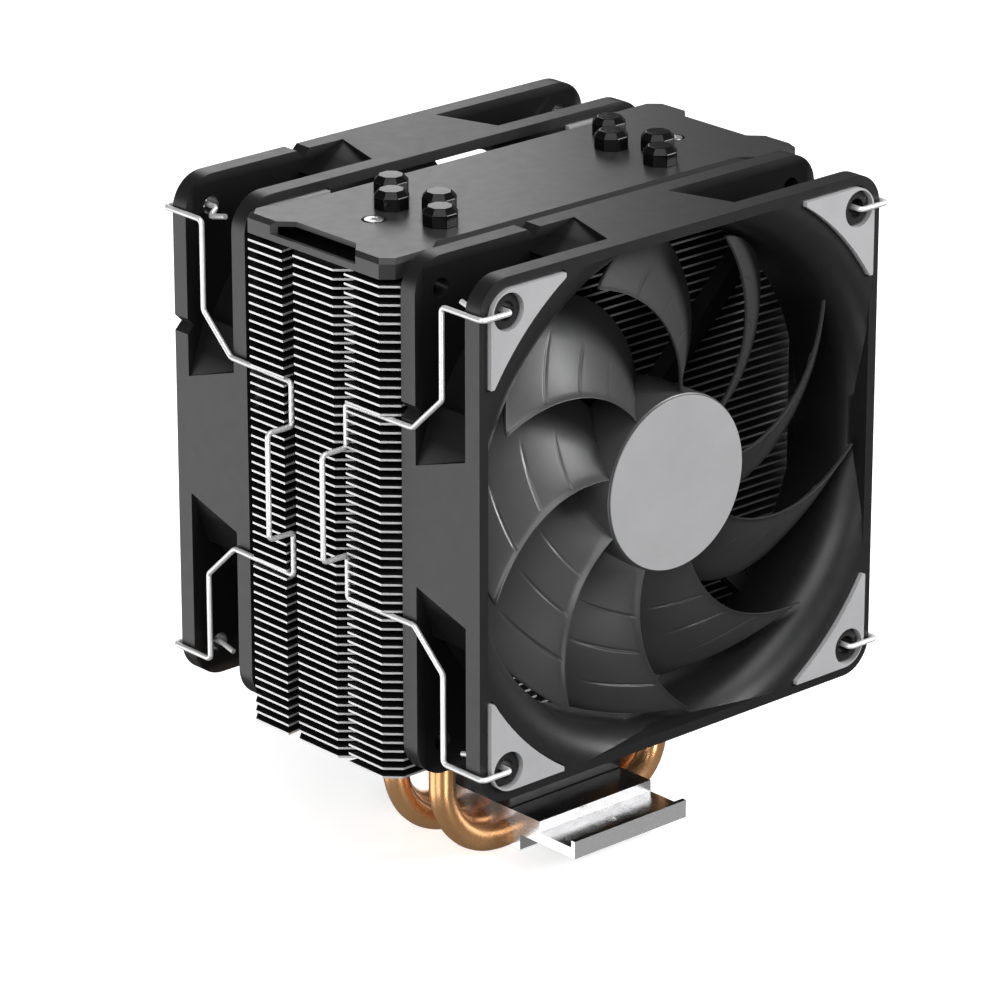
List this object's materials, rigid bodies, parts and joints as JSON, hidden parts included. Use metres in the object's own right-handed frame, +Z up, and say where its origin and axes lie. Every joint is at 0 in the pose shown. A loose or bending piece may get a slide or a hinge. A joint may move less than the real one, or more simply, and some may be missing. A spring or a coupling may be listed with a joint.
{
  "type": "cpu tower cooler",
  "caption": "Tower heat sink with copper U heat pipes through a stack of notched fins, a fan clipped on each broad side, and a direct-contact base.",
  "frame": {"origin": "centre of the contact face under the base", "axes": "+Z up, away from the processor; +Y along the air flow, from the front fan to the rear fan; +X to the right seen from the front fan"},
  "size_m": [0.1376, 0.1066, 0.157],
  "materials": {
    "base_aluminium": "milled, satin",
    "black_anodised": "satin black anodised",
    "fin_aluminium": "bright edges, mill finish",
    "cover_black_metal": "satin black",
    "cap_black_nickel": "polished black nickel",
    "screw_steel": "plain steel",
    "copper": "drawn copper, clear lacquer",
    "frame_plastic": "fine matt black",
    "pad_rubber": "matt grey",
    "blade_plastic": "satin dark grey",
    "disc_grey": "satin grey, blank",
    "yoke_steel": "zinc plated",
    "magnet": "bonded ferrite",
    "shaft_steel": "ground",
    "bearing_bronze": "sintered bronze",
    "coil_copper": "enamelled copper winding",
    "board_green": "solder mask",
    "clip_wire": "bright spring wire"
  },
  "bodies": {
    "root": {"base_block": "base_aluminium", "base_top_plate": "black_anodised", "heat_pipe_1": "copper", "heat_pipe_2": "copper", "heat_pipe_3": "copper", "heat_pipe_4": "copper", "fin_stack": "fin_aluminium", "top_cover": "cover_black_metal", "pipe_caps": "cap_black_nickel", "cover_screws": "screw_steel", "front_fan_frame": "frame_plastic", "front_fan_pads": "pad_rubber", "front_bearing_sleeve": "bearing_bronze", "front_stator_core": "yoke_steel", "front_coils": "coil_copper", "front_circuit_board": "board_green", "rear_fan_frame": "frame_plastic", "rear_fan_pads": "pad_rubber", "rear_bearing_sleeve": "bearing_bronze", "rear_stator_core": "yoke_steel", "rear_coils": "coil_copper", "rear_circuit_board": "board_green"},
    "front_rotor": {"front_impeller": "blade_plastic", "front_hub_disc": "disc_grey", "front_rotor_yoke": "yoke_steel", "front_magnet_ring": "magnet", "front_shaft": "shaft_steel", "front_retaining_ring": "screw_steel"},
    "rear_rotor": {"rear_impeller": "blade_plastic", "rear_hub_disc": "disc_grey", "rear_rotor_yoke": "yoke_steel", "rear_magnet_ring": "magnet", "rear_shaft": "shaft_steel", "rear_retaining_ring": "screw_steel"},
    "clip_front_left_body": {"clip_front_left": "clip_wire"},
    "clip_front_right_body": {"clip_front_right": "clip_wire"},
    "clip_rear_left_body": {"clip_rear_left": "clip_wire"},
    "clip_rear_right_body": {"clip_rear_right": "clip_wire"}
  },
  "joints": [
    {"name": "front_fan_spin", "type": "hinge", "parent": "root", "child": "front_rotor", "pos_m": [0, -0.0385, 0.094], "axis": [0, -1, 0], "continuous": true},
    {"name": "rear_fan_spin", "type": "hinge", "parent": "root", "child": "rear_rotor", "pos_m": [0, 0.0385, 0.094], "axis": [0, -1, 0], "continuous": true},
    {"name": "clip_front_left_release", "type": "hinge", "parent": "root", "child": "clip_front_left_body", "pos_m": [-0.0525, -0.05271, 0.094], "axis": [0, 0, 1], "range_deg": [0, 12], "stiffness_Nm_per_rad": 0.4},
    {"name": "clip_front_right_release", "type": "hinge", "parent": "root", "child": "clip_front_right_body", "pos_m": [0.0525, -0.05271, 0.094], "axis": [0, 0, -1], "range_deg": [0, 12], "stiffness_Nm_per_rad": 0.4},
    {"name": "clip_rear_left_release", "type": "hinge", "parent": "root", "child": "clip_rear_left_body", "pos_m": [-0.0525, 0.05271, 0.094], "axis": [0, 0, -1], "range_deg": [0, 12], "stiffness_Nm_per_rad": 0.4},
    {"name": "clip_rear_right_release", "type": "hinge", "parent": "root", "child": "clip_rear_right_body", "pos_m": [0.0525, 0.05271, 0.094], "axis": [0, 0, 1], "range_deg": [0, 12], "stiffness_Nm_per_rad": 0.4}
  ]
}
